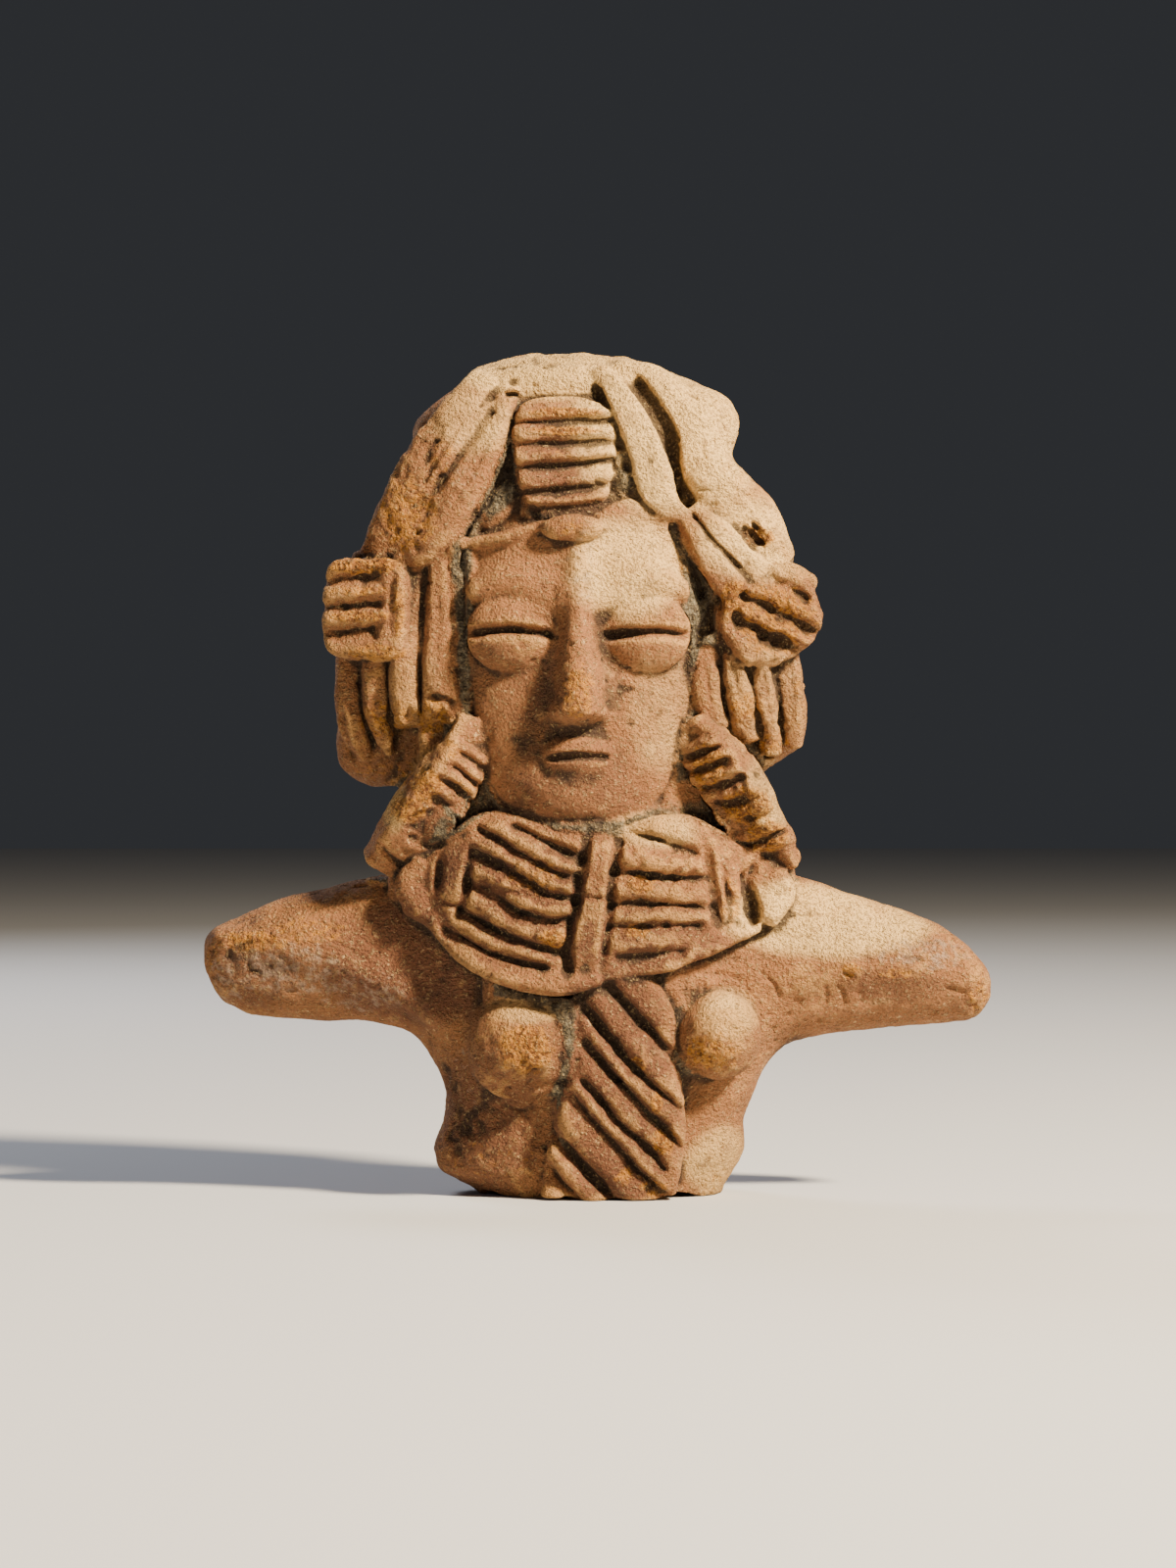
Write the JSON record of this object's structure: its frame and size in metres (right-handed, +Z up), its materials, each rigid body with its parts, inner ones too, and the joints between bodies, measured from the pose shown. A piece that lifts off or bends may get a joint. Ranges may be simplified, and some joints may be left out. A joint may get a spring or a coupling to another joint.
{
  "type": "terracotta figurine bust",
  "caption": "Broken hand-modelled fired-clay female bust with stump arms, layered collar, slashed pendant and strapped headdress; stands on its flat broken waist.",
  "frame": {"origin": "on the plane of the flat broken underside, under the middle of the figure's bounding box", "axes": "+Z up through the head, the face looks along -Y, +X is the right-hand side seen from the front"},
  "size_m": [0.1018, 0.0334, 0.1084],
  "materials": {
    "terracotta": "unglazed fired clay, matte and sandy, buff to red-brown, abraded to ochre on the edges with grey soil in the grooves"
  },
  "bodies": {
    "root": {"terracotta_bust": "terracotta"}
  },
  "joints": []
}
